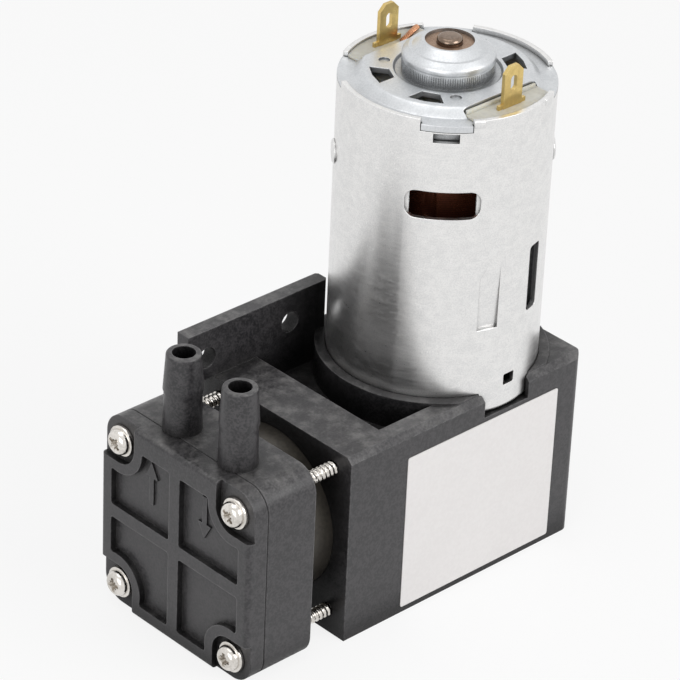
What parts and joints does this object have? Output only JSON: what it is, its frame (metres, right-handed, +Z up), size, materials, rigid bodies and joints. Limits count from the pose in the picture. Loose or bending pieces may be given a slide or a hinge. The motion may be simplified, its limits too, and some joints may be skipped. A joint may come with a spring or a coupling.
{
  "type": "oil-free vacuum pump",
  "caption": "Oil-free wobble piston vacuum pump: upright brushed motor on a black crankcase, a square valve head with two hose ports, and a drilled flange to mount it.",
  "frame": {"origin": "on the flat base, where the upright motor's axis meets it", "axes": "+Z up along the motor axis, -X from the motor to the pump head along the cylinder axis, +Y to the side with the drilled flange"},
  "size_m": [0.0892, 0.0426, 0.1094],
  "materials": {
    "black_nylon": "matte, glass filled",
    "nickel_screw": "polished",
    "anodised_sleeve": "satin, hard anodised",
    "seal_rubber": "matte",
    "valve_aluminium": "machined",
    "spring_steel": "cold rolled",
    "zinc_steel": "satin, zinc plated",
    "sintered_bronze": "matte, porous",
    "ferrite": "matte ceramic",
    "white_nylon": "matte, slightly translucent",
    "carbon": "matte",
    "terminal_brass": "cold rolled",
    "label_film": "satin film",
    "shaft_steel": "ground, oil stained",
    "core_steel": "stacked sheet edges",
    "enamelled_copper": "gloss enamel",
    "commutator_copper": "turned",
    "crank_brass": "turned",
    "bearing_steel": "ground",
    "rod_aluminium": "die cast",
    "ptfe": "smooth, carbon filled"
  },
  "bodies": {
    "housing": {"crankcase": "black_nylon", "bottom_cover": "black_nylon", "cover_screws": "nickel_screw", "cylinder_sleeve": "anodised_sleeve", "sleeve_oring": "seal_rubber", "valve_block": "black_nylon", "cover_gasket": "seal_rubber", "head_cover": "black_nylon", "head_screws": "nickel_screw", "plate_gasket": "seal_rubber", "valve_plate": "valve_aluminium", "inlet_clamp": "spring_steel", "outlet_clamp": "spring_steel", "clamp_screws": "nickel_screw", "motor_can": "zinc_steel", "motor_screws": "nickel_screw", "front_bearing": "sintered_bronze", "rear_bearing": "sintered_bronze", "magnet_front": "ferrite", "magnet_rear": "ferrite", "magnet_clips": "spring_steel", "end_bell": "zinc_steel", "brush_carrier": "white_nylon", "brushes": "carbon", "brush_springs": "spring_steel", "terminal_left": "terminal_brass", "terminal_right": "terminal_brass", "label": "label_film"},
    "rotor": {"motor_shaft": "shaft_steel", "armature_core": "core_steel", "armature_windings": "enamelled_copper", "commutator": "commutator_copper", "crank": "crank_brass", "crank_set_screw": "nickel_screw", "crank_clip": "spring_steel"},
    "rod": {"connecting_rod": "rod_aluminium", "crank_bearing": "bearing_steel", "piston_seal": "ptfe", "piston_cap": "valve_aluminium", "piston_screw": "nickel_screw"},
    "inlet_reed": {"inlet_flap": "spring_steel"},
    "outlet_reed": {"outlet_flap": "spring_steel"}
  },
  "joints": [
    {"name": "rotor_spin", "type": "hinge", "parent": "housing", "child": "rotor", "pos_m": [0, 0, 0.0212], "axis": [0, 0, 1], "continuous": true},
    {"name": "rod_swing", "type": "hinge", "parent": "rotor", "child": "rod", "pos_m": [-0.0025, 0, 0.0212], "axis": [0, 0, 1], "continuous": true, "deforming": ["piston_seal"]},
    {"name": "inlet_flap_lift", "type": "hinge", "parent": "housing", "child": "inlet_reed", "pos_m": [-0.05228, -0.0068, 0.016], "axis": [0, 1, 0], "range_deg": [0, 4], "stiffness_Nm_per_rad": 0.0005, "springref_deg": -2.86},
    {"name": "outlet_flap_lift", "type": "hinge", "parent": "housing", "child": "outlet_reed", "pos_m": [-0.05402, 0.0068, 0.016], "axis": [0, -1, 0], "range_deg": [0, 4], "stiffness_Nm_per_rad": 0.0005, "springref_deg": -2.86}
  ],
  "couplings": [
    {"joint": "rod_swing", "follows": "rotor_spin", "ratio": -1}
  ]
}
